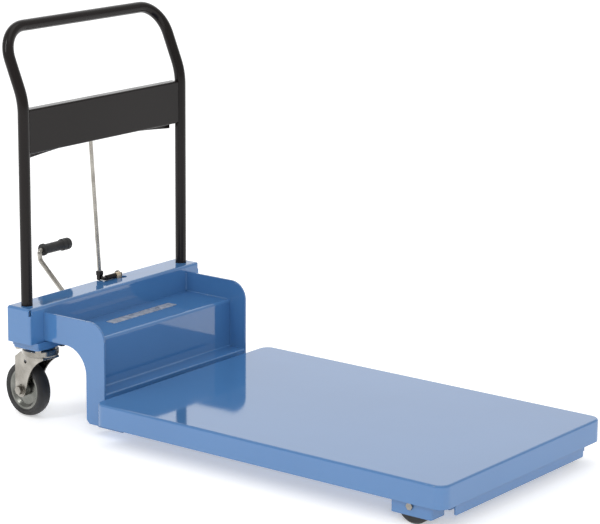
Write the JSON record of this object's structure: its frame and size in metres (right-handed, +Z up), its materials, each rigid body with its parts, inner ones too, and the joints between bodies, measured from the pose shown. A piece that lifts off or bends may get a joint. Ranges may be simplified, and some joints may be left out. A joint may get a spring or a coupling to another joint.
{
  "type": "hydraulic scissor lift table truck",
  "caption": "Low-profile table truck: flat blue platform on a foot-pumped scissor lift, fixed push handle, swivel casters at the rear and small wheels in front.",
  "frame": {"origin": "middle of the plan outline, on the floor", "axes": "+X from the push handle to the front of the platform, +Y to the operator's left, +Z up"},
  "size_m": [1.315, 0.6, 0.8897],
  "materials": {
    "blue_paint": "glossy light blue powder coat",
    "black_paint": "semi-gloss black paint",
    "zinc": "bright zinc plate, slightly warm",
    "zinc_disc": "zinc-plated pressed disc",
    "steel": "plain turned steel",
    "chrome_rod": "hard chrome",
    "black_rubber": "matt black rubber",
    "black_plastic": "matt black nylon",
    "cast_grey": "painted grey casting",
    "brass": "dull brass",
    "label": "silver blank label"
  },
  "bodies": {
    "chassis": {"base_rails": "blue_paint", "caster_bolts": "zinc", "caster_mount_pads": "blue_paint", "caster_top_plates": "blue_paint", "chassis_pins": "steel", "crank_bearing": "brass", "front_cross_plate": "blue_paint", "front_wheel_axles": "zinc", "handle_bolts": "zinc", "handle_frame": "black_paint", "handle_panel": "black_paint", "housing_cover": "blue_paint", "hydraulic_pipe": "steel", "label_plate": "label", "left_side_plate": "blue_paint", "oil_reservoir": "black_paint", "panel_back_plate": "black_paint", "pedal_spring": "steel", "pump_block": "cast_grey", "pump_mount_plate": "blue_paint", "rear_beam": "blue_paint", "rear_crossmember": "blue_paint", "release_bracket": "zinc", "release_valve": "cast_grey", "right_side_plate": "blue_paint", "wheel_brackets": "blue_paint"},
    "inner_arm_body": {"inner_arms": "blue_paint", "inner_cross_tubes": "blue_paint", "lift_lever": "blue_paint", "inner_arm_pins": "steel"},
    "outer_arm_body": {"outer_arms": "blue_paint", "outer_cross_tube": "blue_paint", "outer_arm_pins": "steel"},
    "table_body": {"table_deck": "blue_paint", "deck_ribs": "blue_paint", "roller_channels": "blue_paint", "deck_hinge_brackets": "blue_paint"},
    "upper_roller_body": {"upper_rollers": "steel"},
    "lower_roller_body": {"lower_rollers": "steel"},
    "cylinder_body": {"lift_cylinder": "black_paint"},
    "piston_body": {"piston_rod": "chrome_rod"},
    "pedal_body": {"pedal_arm": "zinc", "pedal_grip": "black_rubber"},
    "plunger_body": {"pump_plunger": "steel"},
    "release_lever_body": {"release_lever": "zinc", "release_grip": "black_rubber"},
    "release_rod_body": {"release_rod": "zinc", "rod_clevis": "black_paint"},
    "valve_crank_body": {"valve_crank": "black_paint"},
    "valve_link_body": {"valve_link": "zinc"},
    "left_caster_body": {"left_caster_fork": "zinc", "left_caster_axle": "zinc"},
    "left_caster_wheel_body": {"left_caster_wheel": "zinc_disc", "left_caster_tyre": "black_rubber"},
    "left_front_wheel_body": {"left_front_wheel": "black_plastic"},
    "right_caster_body": {"right_caster_fork": "zinc", "right_caster_axle": "zinc"},
    "right_caster_wheel_body": {"right_caster_wheel": "zinc_disc", "right_caster_tyre": "black_rubber"},
    "right_front_wheel_body": {"right_front_wheel": "black_plastic"}
  },
  "joints": [
    {"name": "lift", "type": "hinge", "parent": "chassis", "child": "inner_arm_body", "pos_m": [-0.0825, 0, 0.036], "axis": [0, -1, 0], "range_deg": [0, 42]},
    {"name": "outer_arm_turn", "type": "hinge", "parent": "inner_arm_body", "child": "outer_arm_body", "pos_m": [0.26198, 0, 0.055], "axis": [0, -1, 0], "range_deg": [-84.5, 0.5]},
    {"name": "table_level", "type": "hinge", "parent": "outer_arm_body", "child": "table_body", "pos_m": [-0.0825, 0, 0.074], "axis": [0, -1, 0], "range_deg": [-0.5, 42.5]},
    {"name": "upper_roller_spin", "type": "hinge", "parent": "inner_arm_body", "child": "upper_roller_body", "pos_m": [0.60645, 0, 0.074], "axis": [0, 1, 0], "continuous": true},
    {"name": "lower_roller_spin", "type": "hinge", "parent": "outer_arm_body", "child": "lower_roller_body", "pos_m": [0.60645, 0, 0.036], "axis": [0, 1, 0], "continuous": true},
    {"name": "cylinder_tilt", "type": "hinge", "parent": "chassis", "child": "cylinder_body", "pos_m": [-0.2325, 0, 0.072], "axis": [0, -1, 0], "range_deg": [-0.2, 12.13]},
    {"name": "piston_stroke", "type": "slide", "parent": "cylinder_body", "child": "piston_body", "axis": [1, 0, 0], "range_m": [-0.0389, 0.0005]},
    {"name": "pedal", "type": "hinge", "parent": "chassis", "child": "pedal_body", "pos_m": [-0.4185, -0.048, 0.1061], "axis": [0, -1, 0], "range_deg": [0, 35], "stiffness_Nm_per_rad": 2, "springref_deg": -57.3},
    {"name": "plunger_stroke", "type": "slide", "parent": "chassis", "child": "plunger_body", "axis": [0, 0, -1], "range_m": [-0.0002, 0.013]},
    {"name": "release", "type": "hinge", "parent": "chassis", "child": "release_lever_body", "pos_m": [-0.5335, -0.0195, 0.64], "axis": [0, -1, 0], "range_deg": [0, 12], "stiffness_Nm_per_rad": 1, "springref_deg": -17.19},
    {"name": "release_rod_travel", "type": "slide", "parent": "chassis", "child": "release_rod_body", "axis": [0, -0.077, 0.997], "range_m": [-0.0002, 0.00546]},
    {"name": "valve_crank_turn", "type": "hinge", "parent": "chassis", "child": "valve_crank_body", "pos_m": [-0.4955, 0.036, 0.2775], "axis": [0, 1, 0], "range_deg": [-0.5, 24.37]},
    {"name": "valve_link_travel", "type": "slide", "parent": "chassis", "child": "valve_link_body", "axis": [0, 0, 1], "range_m": [-0.0002, 0.00466]},
    {"name": "right_caster_swivel", "type": "hinge", "parent": "chassis", "child": "right_caster_body", "pos_m": [-0.4815, -0.221, 0.16], "axis": [0, 0, 1], "continuous": true},
    {"name": "right_caster_roll", "type": "hinge", "parent": "right_caster_body", "child": "right_caster_wheel_body", "pos_m": [-0.52616, -0.21552, 0.0625], "axis": [0.1219, 0.9925, 0], "continuous": true},
    {"name": "right_front_wheel_roll", "type": "hinge", "parent": "chassis", "child": "right_front_wheel_body", "pos_m": [0.5725, -0.2655, 0.04], "axis": [0, 1, 0], "continuous": true},
    {"name": "left_caster_swivel", "type": "hinge", "parent": "chassis", "child": "left_caster_body", "pos_m": [-0.4815, 0.221, 0.16], "axis": [0, 0, 1], "continuous": true},
    {"name": "left_caster_roll", "type": "hinge", "parent": "left_caster_body", "child": "left_caster_wheel_body", "pos_m": [-0.52616, 0.22648, 0.0625], "axis": [0.1219, 0.9925, 0], "continuous": true},
    {"name": "left_front_wheel_roll", "type": "hinge", "parent": "chassis", "child": "left_front_wheel_body", "pos_m": [0.5725, 0.2655, 0.04], "axis": [0, 1, 0], "continuous": true}
  ],
  "couplings": [
    {"joint": "outer_arm_turn", "follows": "lift", "ratio": -2},
    {"joint": "table_level", "follows": "lift", "ratio": 1},
    {"joint": "cylinder_tilt", "follows": "lift", "ratio": 0.28404},
    {"joint": "piston_stroke", "follows": "lift", "m_per_rad": -0.052031},
    {"joint": "plunger_stroke", "follows": "pedal", "m_per_rad": 0.020657},
    {"joint": "release_rod_travel", "follows": "release", "m_per_rad": 0.024818},
    {"joint": "valve_crank_turn", "follows": "release", "ratio": 1.964},
    {"joint": "valve_link_travel", "follows": "release", "m_per_rad": 0.021}
  ]
}
